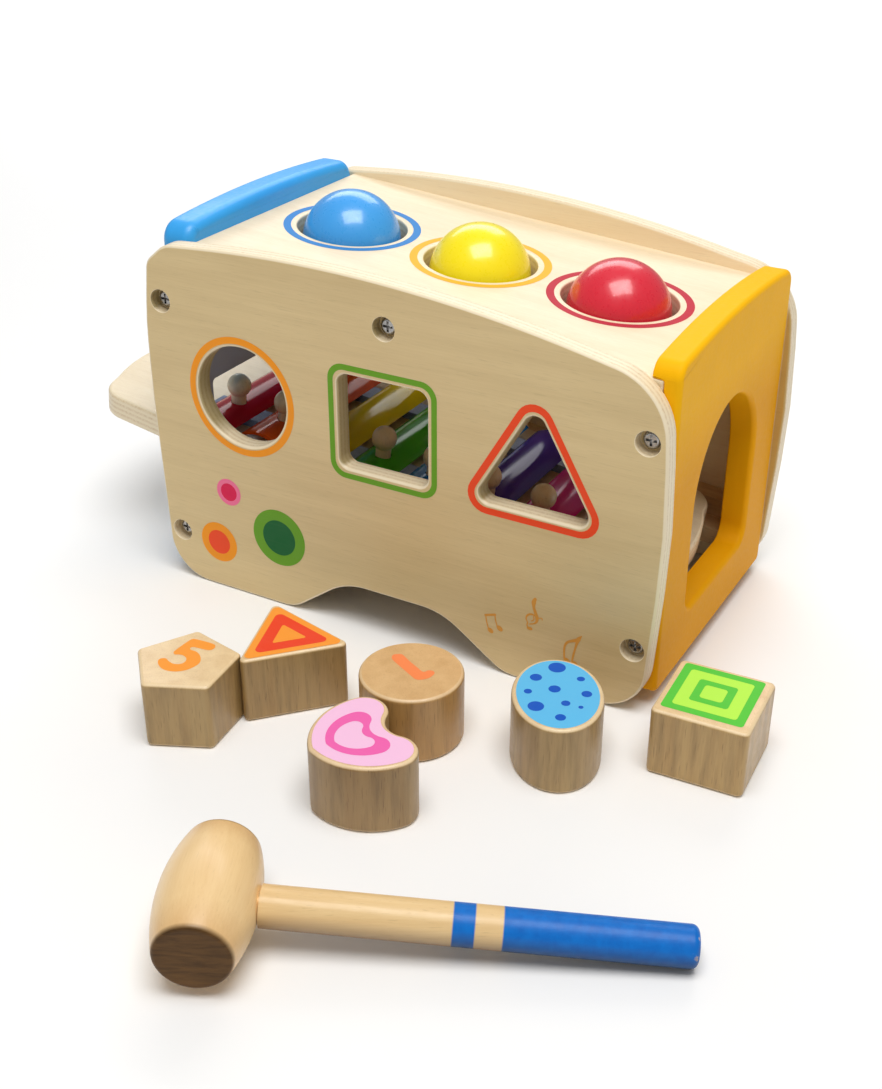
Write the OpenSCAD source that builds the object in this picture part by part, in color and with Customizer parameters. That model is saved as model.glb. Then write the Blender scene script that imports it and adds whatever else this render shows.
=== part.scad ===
// Pounding bench shaped like a bus: three balls are hammered through the roof onto a
// slide-out xylophone, roll down it and leave through the arch. The six windows sort six blocks.
// Millimetres. +X runs from the tray's handle to the arch, +Y from the front panel to the rear
// one, +Z up. The origin is the middle of the front panel's left foot, on the floor.

/* [Bench body] */
// Height of both side panels at the crown
panel_h = 168; // [164:0.5:176]
// Thickness of the side panels
panel_t = 9; // [7:0.5:11]
// Clear width between the two side panels
inner_w = 131.5; // [126:0.5:150]
// Thickness of the blue end board
left_t = 16; // [12:0.5:18]
// Blue end board's setback from the panels' left end
left_inset = 5.3; // [4:0.1:8]
// Thickness of the yellow end board
right_t = 12; // [10:0.5:14]
// Depth of the step in the yellow board that the roof's end lies in
rabbet = 4.8; // [3:0.1:5]
// Yellow end board's setback from the panels' right end
right_inset = 2.4; // [1:0.1:4]
// Height of both end boards above the floor
board_lift = 6; // [3:0.5:10]

/* [Roof] */
// Thickness of the roof board
roof_t = 12; // [10:0.5:13]
// Drop of the roof board's upper face below the crown, at mid length
roof_drop = 13.1; // [11:0.1:16]
// Downward slope of the roof towards the arch, degrees
roof_tilt = 4.59; // [2:0.1:6]
// Diameter of a ball
ball_d = 45; // [44.6:0.1:46]
// Width that a ball hole has to spare over its ball
hole_spare = 5.2; // [4:0.1:6]
// Width of the rubber ring outside a ball hole
ring_land = 7.4; // [6.5:0.1:9]
// Gap between two rubber rings
ring_space = 1.5; // [1:0.1:4]
// Room between the end boards and the rubber rings
end_room = 8.8; // [6:0.1:14]

/* [Windows] */
// Diameter of the round window
round_d = 46.8; // [44:0.1:48]
// Width of the square window
square_w = 43.5; // [41:0.1:45]
// Radius of the circle through the triangular window's sharp corners
triangle_r = 32.1; // [31:0.1:33]
// Gap between a block and its window, all round
sort_gap = 2.2; // [1.5:0.1:3]
// Height of a block
block_h = 30; // [25:0.5:35]

/* [Xylophone] */
// Thickness of the tray
tray_t = 12; // [9:0.5:13]
// Width of the side rails beside the tray
guide_w = 11.25; // [10:0.05:14]
// Height of the tray's upper face at the bench's mid length
tray_z = 53; // [50:0.5:54]
// Downward slope of the tray towards the arch, degrees
tray_tilt = 6.4; // [5:0.1:7]
// Length of the tray's handle beyond the panels' left end
handle_out = 65; // [50:0.5:75]
// Number of tone bars
bars = 8; // [6:1:8]
// Distance between tone bars along the tray
bar_pitch = 27.37; // [26:0.01:27.5]
// Width of a tone bar
bar_w = 22.6; // [19:0.1:23.5]
// Height of a tone bar's crown above its edges
bar_rise = 3.7; // [3:0.1:4.5]
// Thickness of a tone bar's sheet
bar_t = 1.5; // [1:0.1:2]
// Distance from the tray's edge to the end of the longest tone bar
bar_margin = 5; // [3.5:0.5:7]
// Gap between a pin's middle line and the side of a rolling ball
pin_space = 5.8; // [4:0.1:7]
// Diameter of a pin's ball head
pin_head_d = 11.6; // [9:0.1:11.8]
// Diameter of a pin's neck
pin_neck_d = 7.2; // [6:0.1:7.5]

/* [Mallet] */
// Length of the mallet's head
mallet_len = 52.9; // [45:0.1:60]
// Diameter of the head's middle
mallet_mid_d = 35.2; // [32:0.1:38]
// Diameter of the head's striking faces
mallet_end_d = 27.6; // [24:0.1:30]
// Diameter of the mallet's handle
grip_d = 14.7; // [13:0.1:16]
// Reach of the handle from the middle of the head
grip_reach = 163; // [150:1:175]

/* [Hidden] */

$fn = 96;
// Running gap between a piece that moves and what guides it
slide_gap = 0.3;
// Gap between a fixed pin, screw or tenon and its hole
fit_gap = 0.05;
// How far a cut runs past the face that it opens
overrun = 1;
// Largest turn between two points on a rounded corner, degrees
arc_step = 6;

// Middle plane between the two side panels
mid_y = panel_t + inner_w / 2;
// Outer and inner faces of the end boards
left_out = left_inset;
left_in = left_inset + left_t;
// Ball holes and rubber rings, and the length that three of them give the bench
hole_d = ball_d + hole_spare;
ring_d = hole_d + 2 * ring_land;
hole_pitch = ring_d + ring_space;
ball_depth_share = 0.1344;
ball_depth = ball_depth_share * ball_d;
right_in = left_in + 2 * hole_pitch + ring_d + 2 * end_room;
right_out = right_in + right_t;
panel_len = right_out + right_inset;
// Point of the roof and the tray whose heights are given
mid_x = 0.52 * panel_len;
// Middle of the left foot, where the origin stands
foot_share = 0.179;
foot_x = foot_share * panel_len;

// Side panel's corners: length share, height share and radius as a share of the height.
// The crown's arc goes in after the top left corner, which is cut off at a slant.
corner_shares = [[0.0123, 0, 0.125], [-0.001, 0.548, 3.57], [0.0005, 0.762, 1.01],
    [0.0146, 0.929, 0.046], [0.056, 0.981, 0.08],
    [0.984, 0.876, 0.170], [1.001, 0.506, 2.6], [0.980, 0, 0.131], [0.723, 0, 0.107],
    [0.6017, 0.1274, 0.19], [0.4047, 0.1274, 0.19], [0.290, 0, 0.107]];
// Crown: its highest point, and where its arc starts and ends, as shares of the length
crown_shares = [0.321, 0.096, 0.870];
crown_r_share = 3.87;
crown_steps = 24;
last_left_corner = 4;
last_right_corner = 7;
// How much further the rear panel reaches past the yellow board than the front one
rear_reach = 2.3; // [0:0.1:4]

// Middles of the windows: length share and height share
round_shares = [0.2018, 0.604];
square_shares = [0.4903, 0.607];
triangle_shares = [0.7704, 0.576];

// Panel screws: distance of the end boards' screws from their outer faces, heights as shares
left_screw_in = 4.6;
right_screw_in = 8.2;
left_screw_shares = [0.826, 0.146];
right_screw_shares = [0.736, 0.1845];
roof_screw_share = 0.4966;
roof_screw_depth_share = 0.67;
screw_len = 26;
screw_d = 4;
screw_head_d = 7.6;
screw_head_h = 2.3;
screw_head_round = 1.4;
screw_sink_d = 10.5;
screw_sink = 5.8;
cross_w = 1.1;
cross_len = 4.6;
cross_deep = 1.2;

// Roof
function roof_z(x) = panel_h - roof_drop - tan(roof_tilt) * (x - mid_x);
hole_x = (left_in + right_in) / 2;
hole_places = [-1, 0, 1] * hole_pitch;
roof_end = right_in + rabbet;

// Rubber rings under the ball holes
ring_t = 2;
ring_bore_d = ball_d - 1;
ring_screw_pcd = (hole_d + ring_d) / 2;
ring_screw_n = 4;
ring_screw_turn = 45;
ring_screw_d = 2;
ring_screw_head_d = 4.2;
ring_screw_head_h = 1.2;
ring_screw_len = 8;

// End boards: rise of the rounded tops, and their corner radii
left_rise = 6;
left_shoulder = 3.2;
left_corner_r = 9;
left_edge_r = 4;
right_drop = 11.3;
right_shoulder = 4.2;
right_corner_r = 7;
right_foot_r = 4;
arch_w = 73.3;
arch_sill = 30.5;
arch_below_top = 41.5;
arch_foot_r = 8;
top_steps = 16;
// Share of an end board's width that its top arc takes between the corners
top_arc_share = 0.8;

// Rails that carry the tray, and the width that they leave it
rail_side_gap = 0.5;
tray_w = inner_w - 2 * (guide_w + rail_side_gap);
rail_ledge_w = 12;
rail_ledge_t = 8;
rail_rise = 9;

// Tray: its length, bulged ends and tapered handle
function tray_top(x) = tray_z - tan(tray_tilt) * (x - mid_x);
tray_right = right_in - slide_gap;
tray_start = -(handle_out + mid_x) / cos(tray_tilt);
tray_end = (tray_right - mid_x) / cos(tray_tilt);
tray_bulge = 6.5;
tray_flat_in = 20;
tray_flat = tray_w / 2 - tray_flat_in;
tray_corner_back = 10.5;
tray_corner_in = 3.5;
tray_corner_y = tray_w / 2 - tray_corner_in;
tray_corner_r = 16;
tray_taper = 60;
tray_taper_r = 120;
end_corner_back = 9;
end_corner_r = 18;
slot_top = 97.2;
slot_side = 2.6;
slot_r = 2;

// Tone bars
bar_len = tray_w - 2 * bar_margin;
bar_shorter_share = 0.012;
pin_y = ball_d / 2 + pin_space;
felt_t = 4.2;
felt_w = 12;
felt_over = 2;
first_bar_in = 6.6;
bar_hole_d = pin_neck_d + 0.8;
nail_d = 2.4;
nail_hole_d = 3;
nail_head_d = 4.5;
nail_in = 4;
nail_head_h = 1.3;
nail_deep = 8;
pin_rise = 8.4;
pin_deep = 9;
bar_colors = ["crimson", "orangered", "gold", "limegreen", "dodgerblue", "darkslateblue",
    "mediumvioletred", "lightseagreen"];

// Loose pieces on the floor, measured as the bench is: middle of each, and its turn
circle_at = [169.4, -55.3];
square_at = [280.5, -12];
triangle_at = [111.4, -58.4];
pentagon_at = [86.2, -94];
heart_at = [175.3, -99.4];
oval_at = [227, -40.7];
mallet_at = [170.2, -189.7];
square_turn = 3;
triangle_turn = 17;
pentagon_turn = -29.2;
heart_turn = -34.8;
oval_turn = 29.6;
mallet_turn = -64.2;

// Blocks
pentagon_r = 22.8;
block_r = 2.5;
oval_long = 49.2;
oval_short = 36.4;
lobe_r = 9.8;
lobe_x = 13.7;
lobe_y = 5;
flank_r = 28.1;
hollow_r = 9.76;
heart_steps = 14;

// Mallet
tenon_d = 11;
tenon_end = 10;
tip_round = 2.5;
face_round = 1.5;
barrel_steps = 24;

function unit(v) = v / norm(v);

// Points of the arc of radius r that rounds corner b, between its neighbours a and c
function corner(a, b, c, r) = r == 0 ? [b] :
    let (u = unit(a - b), v = unit(c - b), half = acos(u * v) / 2,
        centre = b + unit(u + v) * r / sin(half),
        p = b + u * r / tan(half) - centre,
        q = b + v * r / tan(half) - centre,
        from = atan2(p.y, p.x),
        turn = atan2(q.y, q.x) - from,
        sweep = turn > 180 ? turn - 360 : turn < -180 ? turn + 360 : turn,
        n = max(2, ceil(abs(sweep) / arc_step)))
    [for (i = [0:n]) centre + r * [cos(from + sweep * i / n), sin(from + sweep * i / n)]];

// Points of an arc of n steps, without its last point
function arc_points(centre, r, from, to, n) = [for (i = [0:n - 1])
    let (t = from + (to - from) * i / n) centre + r * [cos(t), sin(t)]];

// Outline through corners given as [x, y, radius]
function rounded(c) = let (n = len(c), p = [for (k = c) [k.x, k.y]])
    [for (i = [0:n - 1]) each corner(p[(i + n - 1) % n], p[i], p[(i + 1) % n], c[i].z)];

// Corners of a regular polygon whose sharp corners lie at distance r
function regular(n, r, turn, round_r) = [for (i = [0:n - 1])
    [r * cos(turn + 360 * i / n), r * sin(turn + 360 * i / n), round_r]];

// Points of a low arch of the given rise over the middle of a span, left to right
function low_arch(from, to, base, rise) = let (half = (to - from) / 2)
    [for (i = [0:top_steps]) let (s = top_arc_share * (2 * i / top_steps - 1))
        [from + half * (1 + s), base + rise * (1 - s * s), 0]];

function crown_z(x) = let (r = crown_r_share * panel_h, d = x - crown_shares[0] * panel_len)
    panel_h - r + sqrt(r * r - d * d);

function panel_corners(reach) = [for (i = [0:len(corner_shares) - 1]) let (c = corner_shares[i],
    on_right = i > last_left_corner && i <= last_right_corner)
    [c.x * panel_len + (on_right ? reach : 0), c.y * panel_h, c.z * panel_h]];
crown_points = [for (i = [0:crown_steps])
    let (x = panel_len * (crown_shares[1] + (crown_shares[2] - crown_shares[1]) * i / crown_steps))
    [x, crown_z(x), 0]];
function panel_outline(reach) = let (corners = panel_corners(reach))
    rounded(concat([for (i = [0:last_left_corner]) corners[i]], crown_points,
        [for (i = [last_left_corner + 1:len(corners) - 1]) corners[i]]));

// Stands the bench so that the origin is the middle of the front panel's left foot
module in_frame() {
    translate([-foot_x, -panel_t / 2, 0]) children();
}

// Extrudes an outline in X and Z from the depth y, by the thickness t
module upright(y, t) {
    translate([0, y + t, 0]) rotate([90, 0, 0]) linear_extrude(t) children();
}

// Extrudes an outline in Y and Z from x, by the thickness t
module crosswise(x, t) {
    translate([x, 0, 0]) rotate([90, 0, 90]) linear_extrude(t) children();
}

// Cuts or fills the same place on both side panels' screw lines
module at_screws() {
    for (i = [0:1]) {
        translate([left_out + left_screw_in, 0, left_screw_shares[i] * panel_h]) children();
        translate([right_out - right_screw_in, 0, right_screw_shares[i] * panel_h]) children();
    }
    x = roof_screw_share * panel_len;
    translate([x, 0, roof_z(x) - roof_screw_depth_share * roof_t]) children();
}

// Round hole along +Y from y, of diameter d
module hole_y(y, length, d) {
    translate([0, y, 0]) rotate([-90, 0, 0]) cylinder(h = length, d = d);
}

module window_outline(shape, grow) {
    if (shape == "circle") circle(d = round_d - 2 * sort_gap + 2 * grow);
    if (shape == "square") {
        s = square_w / 2 - sort_gap + grow;
        polygon(rounded([for (c = [[-1, -1], [1, -1], [1, 1], [-1, 1]])
            [c.x * s, c.y * s, block_r + grow]]));
    }
    if (shape == "triangle")
        polygon(rounded(regular(3, triangle_r + 2 * (grow - sort_gap), 90, block_r + grow)));
    if (shape == "pentagon")
        polygon(rounded(regular(5, pentagon_r + grow / cos(36), 90, block_r + grow)));
    if (shape == "oval") {
        a = oval_long / 2 + grow;
        b = oval_short / 2 + grow;
        polygon([for (t = [0:arc_step:360 - arc_step]) [a * cos(t), b * sin(t)]]);
    }
    if (shape == "heart") heart_outline(grow);
}

// Half of the heart from its foot: a wide flank, a round lobe, then half of the hollow
module heart_outline(grow) {
    flank = flank_r + grow;
    lobe = lobe_r + grow;
    hollow = hollow_r - grow;
    flank_x = lobe_x + lobe_r - flank_r;
    hollow_y = lobe_y + sqrt(pow(lobe_r + hollow_r, 2) - pow(lobe_x, 2));
    meet_turn = atan2(hollow_y - lobe_y, lobe_x);
    foot_turn = acos(-flank_x / flank);
    half = concat(
        arc_points([flank_x, lobe_y], flank, -foot_turn, 0, heart_steps),
        arc_points([lobe_x, lobe_y], lobe, 0, 180 - meet_turn, heart_steps),
        arc_points([0, hollow_y], hollow, -meet_turn, -90, heart_steps / 2),
        [[0, hollow_y - hollow]]);
    left = [for (i = [len(half) - 2:-1:1]) [-half[i].x, half[i].y]];
    polygon(concat(half, left));
}

module side_panel(y, outside, shapes, reach = 0) {
    places = [round_shares, square_shares, triangle_shares];
    difference() {
        upright(y, panel_t) polygon(panel_outline(reach));
        for (i = [0:2])
            translate([places[i].x * panel_len, 0, places[i].y * panel_h])
                upright(y - overrun, panel_t + 2 * overrun) window_outline(shapes[i], sort_gap);
        at_screws() {
            hole_y(y - overrun, panel_t + 2 * overrun, screw_d + 2 * fit_gap);
            hole_y(outside < 0 ? y - overrun : y + panel_t - screw_sink,
                screw_sink + overrun, screw_sink_d);
        }
    }
}

module front_panel() {
    color("burlywood") in_frame() side_panel(0, -1, ["circle", "square", "triangle"]);
}

module rear_panel() {
    color("burlywood") in_frame()
        side_panel(panel_t + inner_w, 1, ["pentagon", "heart", "oval"], rear_reach);
}

// Screws that hold both side panels to the end boards and the roof
module panel_screws() {
    color("silver") in_frame() at_screws() {
        panel_screw();
        translate([0, 2 * mid_y, 0]) mirror([0, 1, 0]) panel_screw();
    }
}

module panel_screw() {
    seat = screw_sink;
    difference() {
        union() {
            translate([0, seat - screw_head_h, 0]) rotate([-90, 0, 0]) rotate_extrude()
                polygon(rounded([[0, 0, 0], [screw_head_d / 2, 0, screw_head_round],
                    [screw_head_d / 2, screw_head_h, 0], [0, screw_head_h, 0]]));
            hole_y(seat, screw_len, screw_d);
        }
        for (turn = [0, 90])
            translate([0, seat - screw_head_h, 0]) rotate([0, turn, 0])
                translate([-cross_len / 2, -overrun, -cross_w / 2])
                    cube([cross_len, cross_deep + overrun, cross_w]);
    }
}

// Holes in the boards' edges for the panel screws
module screw_pilots() {
    length = screw_sink + screw_len + fit_gap;
    at_screws() {
        hole_y(0, length, screw_d + 2 * fit_gap);
        hole_y(2 * mid_y - length, length, screw_d + 2 * fit_gap);
    }
}

// Puts children on the roof's upper face at the middle of ball hole i, square to the roof
module on_roof(i) {
    translate([hole_x, mid_y, roof_z(hole_x)]) rotate([0, roof_tilt, 0])
        translate([hole_places[i], 0, 0]) children();
}

module sloped_slab(x1, x2, z1, z2, t, y, w) {
    upright(y, w) polygon([[x1, z1 - t], [x2, z2 - t], [x2, z2], [x1, z1]]);
}

module roof_board() {
    color("wheat") in_frame() difference() {
        sloped_slab(left_in, roof_end, roof_z(left_in), roof_z(roof_end),
            roof_t / cos(roof_tilt), panel_t, inner_w);
        for (i = [0:2])
            on_roof(i) translate([0, 0, -roof_t - overrun])
                cylinder(h = roof_t + 2 * overrun, d = hole_d);
        for (i = [0:2]) on_roof(i) ring_screw_places()
            translate([0, 0, -roof_t - overrun])
                cylinder(h = ring_screw_len - ring_t + fit_gap + overrun,
                    d = ring_screw_d + 2 * fit_gap);
        screw_pilots();
    }
}

module ring_screw_places() {
    for (k = [0:ring_screw_n - 1])
        rotate(ring_screw_turn + 360 * k / ring_screw_n)
            translate([ring_screw_pcd / 2, 0, 0]) children();
}

// Rubber ring under a ball hole: the ball rests in it and is knocked through it
module grip_ring(i) {
    in_frame() on_roof(i) translate([0, 0, -roof_t - ring_t]) difference() {
        cylinder(h = ring_t, d = ring_d);
        translate([0, 0, -overrun]) cylinder(h = ring_t + 2 * overrun, d = ring_bore_d);
        ring_screw_places() translate([0, 0, -overrun])
            cylinder(h = ring_t + 2 * overrun, d = ring_screw_d + 2 * fit_gap);
    }
}

module grip_ring_blue() { color("dimgray") grip_ring(0); }
module grip_ring_yellow() { color("dimgray") grip_ring(1); }
module grip_ring_red() { color("dimgray") grip_ring(2); }

module grip_ring_screws() {
    color("silver") in_frame() for (i = [0:2]) on_roof(i) ring_screw_places()
        translate([0, 0, -roof_t - ring_t]) {
            cylinder(h = ring_screw_len, d = ring_screw_d);
            translate([0, 0, -ring_screw_head_h])
                cylinder(h = ring_screw_head_h, d = ring_screw_head_d);
        }
}

// Blue end board: rounded top above the roof, and the slot that the tray slides through
module left_board() {
    top = panel_h + left_rise;
    near = panel_t;
    far = panel_t + inner_w;
    slot_half = tray_w / 2 + slot_side;
    slot_sill = tray_top(left_in) - tray_t / cos(tray_tilt) - slide_gap;
    color("dodgerblue") in_frame() difference() {
        intersection() {
            crosswise(left_out, left_t) polygon(rounded(concat(
                [[near, board_lift, 0], [near, top - left_shoulder, left_corner_r]],
                low_arch(near, far, top - left_shoulder, left_shoulder),
                [[far, top - left_shoulder, left_corner_r], [far, board_lift, 0]])));
            upright(near - overrun, inner_w + 2 * overrun) polygon(rounded([
                [left_out, board_lift, 0], [left_out, top, left_edge_r],
                [left_in, top, left_edge_r], [left_in, board_lift, 0]]));
        }
        crosswise(left_out - overrun, left_t + 2 * overrun) polygon(rounded([
            [mid_y - slot_half, slot_sill, 0], [mid_y + slot_half, slot_sill, 0],
            [mid_y + slot_half, slot_top, slot_r], [mid_y - slot_half, slot_top, slot_r]]));
        screw_pilots();
    }
}

// Yellow end board with the arch that the balls roll out of
module right_board() {
    top = panel_h - right_drop;
    near = panel_t;
    far = panel_t + inner_w;
    arch_z = top - arch_below_top - arch_w / 2;
    color("gold") in_frame() difference() {
        crosswise(right_in, right_t) polygon(rounded(concat(
            [[near, board_lift, right_foot_r], [near, top - right_shoulder, right_corner_r]],
            low_arch(near, far, top - right_shoulder, right_shoulder),
            [[far, top - right_shoulder, right_corner_r], [far, board_lift, right_foot_r]])));
        crosswise(right_in - overrun, right_t + 2 * overrun) {
            translate([mid_y, arch_z]) circle(d = arch_w);
            polygon(rounded([[mid_y - arch_w / 2, arch_z, 0],
                [mid_y - arch_w / 2, arch_sill, arch_foot_r],
                [mid_y + arch_w / 2, arch_sill, arch_foot_r], [mid_y + arch_w / 2, arch_z, 0]]));
        }
        upright(near - overrun, inner_w + 2 * overrun) polygon([
            [right_in - overrun, roof_z(right_in - overrun) - roof_t / cos(roof_tilt)],
            [roof_end, roof_z(roof_end) - roof_t / cos(roof_tilt)],
            [roof_end, roof_z(roof_end)], [right_in - overrun, roof_z(right_in - overrun)]]);
        screw_pilots();
    }
}

// Rail of L section along a side panel: its ledge carries the tray, its side guides it
module tray_rail(y, inward) {
    under = tray_t / cos(tray_tilt) + slide_gap;
    ledge_w = guide_w + rail_side_gap + rail_ledge_w;
    z1 = tray_top(left_in) - under;
    z2 = tray_top(right_in) - under;
    sloped_slab(left_in, right_in, z1, z2, rail_ledge_t, inward > 0 ? y : y - ledge_w, ledge_w);
    sloped_slab(left_in, right_in, z1 + rail_rise, z2 + rail_rise, rail_rise + rail_ledge_t,
        inward > 0 ? y : y - guide_w, guide_w);
}

module tray_rail_front() { color("tan") in_frame() tray_rail(panel_t, 1); }
module tray_rail_rear() { color("tan") in_frame() tray_rail(panel_t + inner_w, -1); }

// Puts children on the tray's upper face at the bench's mid length, along the slope
module on_tray() {
    translate([mid_x, mid_y, tray_z]) rotate([0, tray_tilt, 0]) children();
}

// Middle of tone bar i along the tray, counted from the handle
function bar_at(i) = bar_start + i * bar_pitch;
bar_start = (left_out - mid_x + first_bar_in) / cos(tray_tilt);

// Length of tone bar i, and where its nail is
function bar_length(i) = bar_len * (1 - i * bar_shorter_share);
function nail_y(i) = bar_length(i) / 2 - nail_in;

module xylophone_tray() {
    half = tray_w / 2;
    start = tray_start;
    end = tray_end;
    left_end = [for (i = [-4:4]) let (s = i / 4)
        [start + tray_bulge * s * s, -tray_flat * s, 0]];
    right_end = [for (i = [-4:4]) let (s = i / 4)
        [end - tray_bulge * s * s, tray_flat * s, 0]];
    color("wheat") in_frame() on_tray() difference() {
        translate([0, 0, -tray_t]) linear_extrude(tray_t) polygon(rounded(concat(
            left_end,
            [[start + tray_corner_back, -tray_corner_y, tray_corner_r],
                [start + tray_taper, -half, tray_taper_r],
                [end - end_corner_back, -half, end_corner_r]],
            right_end,
            [[end - end_corner_back, half, end_corner_r],
                [start + tray_taper, half, tray_taper_r],
                [start + tray_corner_back, tray_corner_y, tray_corner_r]])));
        for (i = [0:bars - 1]) {
            translate([bar_at(i), -pin_y, -pin_deep - fit_gap])
                cylinder(h = pin_deep + fit_gap + overrun, d = pin_neck_d + 2 * fit_gap);
            translate([bar_at(i), nail_y(i), -nail_deep - fit_gap])
                cylinder(h = nail_deep + fit_gap + overrun, d = nail_d + 2 * fit_gap);
        }
    }
}

// Felt under the bars, along the tray
module felt_strip(y) {
    from = bar_at(0) - bar_w / 2 - felt_over;
    to = bar_at(bars - 1) + bar_w / 2 + felt_over;
    on_tray() translate([from, y - felt_w / 2, 0]) cube([to - from, felt_w, felt_t]);
}

module felt_strip_near() {
    color("lightsteelblue") in_frame() difference() {
        felt_strip(-pin_y);
        on_tray() for (i = [0:bars - 1]) translate([bar_at(i), -pin_y, -overrun])
            cylinder(h = felt_t + 2 * overrun, d = pin_neck_d + 2 * fit_gap);
    }
}

module felt_strip_far() { color("lightsteelblue") in_frame() felt_strip(pin_y); }

// Bar of arched sheet, shorter from one to the next
module tone_bar(i) {
    length = bar_length(i);
    outer_r = (pow(bar_w / 2, 2) + pow(bar_rise, 2)) / (2 * bar_rise);
    axis_z = felt_t + bar_rise - outer_r;
    color(bar_colors[i]) in_frame() on_tray() translate([bar_at(i), 0, 0]) difference() {
        intersection() {
            translate([0, -length / 2, axis_z]) rotate([-90, 0, 0])
                cylinder(h = length, r = outer_r);
            translate([-bar_w / 2, -length / 2 - overrun, felt_t])
                cube([bar_w, length + 2 * overrun, bar_rise + overrun]);
        }
        translate([0, -length / 2 - overrun, axis_z]) rotate([-90, 0, 0])
            cylinder(h = length + 2 * overrun, r = outer_r - bar_t);
        translate([0, -pin_y, 0])
            cylinder(h = felt_t + bar_rise + overrun, d = bar_hole_d);
        translate([0, nail_y(i), 0])
            cylinder(h = felt_t + bar_rise + overrun, d = nail_hole_d);
    }
}

module tone_bar_1() { tone_bar(0); }
module tone_bar_2() { tone_bar(1); }
module tone_bar_3() { tone_bar(2); }
module tone_bar_4() { tone_bar(3); }
module tone_bar_5() { tone_bar(4); }
module tone_bar_6() { tone_bar(5); }
module tone_bar_7() { tone_bar(6); }
module tone_bar_8() { tone_bar(7); }

// Turned wooden pins with ball heads, one through the near end of each bar
module bar_pins() {
    head_z = felt_t + bar_rise + pin_rise;
    color("tan") in_frame() on_tray() for (i = [0:bars - 1])
        translate([bar_at(i), -pin_y, 0]) {
            translate([0, 0, -pin_deep]) cylinder(h = pin_deep + head_z, d = pin_neck_d);
            translate([0, 0, head_z]) sphere(d = pin_head_d);
        }
}

// Flat-headed nails, one through the far end of each bar
module bar_nails() {
    seat = felt_t + bar_rise;
    color("silver") in_frame() on_tray() for (i = [0:bars - 1])
        translate([bar_at(i), nail_y(i), 0]) {
            translate([0, 0, -nail_deep]) cylinder(h = nail_deep + seat, d = nail_d);
            translate([0, 0, seat]) cylinder(h = nail_head_h, d = nail_head_d);
        }
}

module ball(i) {
    in_frame() on_roof(i) translate([0, 0, -ball_depth]) sphere(d = ball_d);
}

module ball_blue() { color("dodgerblue") ball(0); }
module ball_yellow() { color("yellow") ball(1); }
module ball_red() { color("crimson") ball(2); }

// Block that fits the window of its shape, standing at a place with a turn
module block(at, turn, shape) {
    color("burlywood") in_frame() translate([at.x, at.y, 0]) rotate(turn)
        linear_extrude(block_h) window_outline(shape, 0);
}

module block_circle() { block(circle_at, 0, "circle"); }
module block_square() { block(square_at, square_turn, "square"); }
module block_triangle() { block(triangle_at, triangle_turn - 90, "triangle"); }
module block_pentagon() { block(pentagon_at, pentagon_turn - 90, "pentagon"); }
module block_heart() { block(heart_at, heart_turn, "heart"); }
module block_oval() { block(oval_at, oval_turn + 90, "oval"); }

// The mallet lies on the belly of its head and on the tip of its handle
module in_mallet() {
    in_frame() translate([mallet_at.x, mallet_at.y, mallet_mid_d / 2])
        rotate([0, 0, mallet_turn]) rotate([-asin((mallet_mid_d - grip_d) / 2 / grip_reach), 0, 0])
            children();
}

module mallet_head() {
    half = mallet_len / 2;
    rise = (mallet_mid_d - mallet_end_d) / 2;
    belly = [for (i = [0:barrel_steps]) let (s = -1 + 2 * i / barrel_steps)
        [mallet_end_d / 2 + rise * (1 - s * s), (half - face_round) * s]];
    color("burlywood") in_mallet() difference() {
        rotate([0, 90, 0]) rotate_extrude() polygon(concat([[0, -half],
            [mallet_end_d / 2 - face_round, -half]], belly,
            [[mallet_end_d / 2 - face_round, half], [0, half]]));
        translate([0, -tenon_end - fit_gap, 0]) rotate([-90, 0, 0])
            cylinder(h = mallet_mid_d, d = tenon_d + 2 * fit_gap);
        translate([0, mallet_mid_d / 2 - fit_gap, 0]) rotate([-90, 0, 0])
            cylinder(h = overrun, d = grip_d + 2 * fit_gap);
    }
}

module mallet_handle() {
    color("burlywood") in_mallet() {
        translate([0, -tenon_end, 0]) rotate([-90, 0, 0])
            cylinder(h = tenon_end + mallet_mid_d / 2 + overrun, d = tenon_d);
        translate([0, mallet_mid_d / 2, 0]) rotate([-90, 0, 0]) rotate_extrude()
            polygon(rounded([[0, 0, 0], [grip_d / 2, 0, 0],
                [grip_d / 2, grip_reach - mallet_mid_d / 2, tip_round],
                [0, grip_reach - mallet_mid_d / 2, 0]]));
    }
}

front_panel();
rear_panel();
roof_board();
left_board();
right_board();
tray_rail_front();
tray_rail_rear();
panel_screws();
grip_ring_blue();
grip_ring_yellow();
grip_ring_red();
grip_ring_screws();
xylophone_tray();
felt_strip_near();
felt_strip_far();
tone_bar_1();
tone_bar_2();
tone_bar_3();
tone_bar_4();
tone_bar_5();
tone_bar_6();
tone_bar_7();
tone_bar_8();
bar_pins();
bar_nails();
ball_blue();
ball_yellow();
ball_red();
block_circle();
block_square();
block_triangle();
block_pentagon();
block_heart();
block_oval();
mallet_head();
mallet_handle();
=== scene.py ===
import math

import bmesh
import bpy
from mathutils import Matrix, Vector


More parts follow.
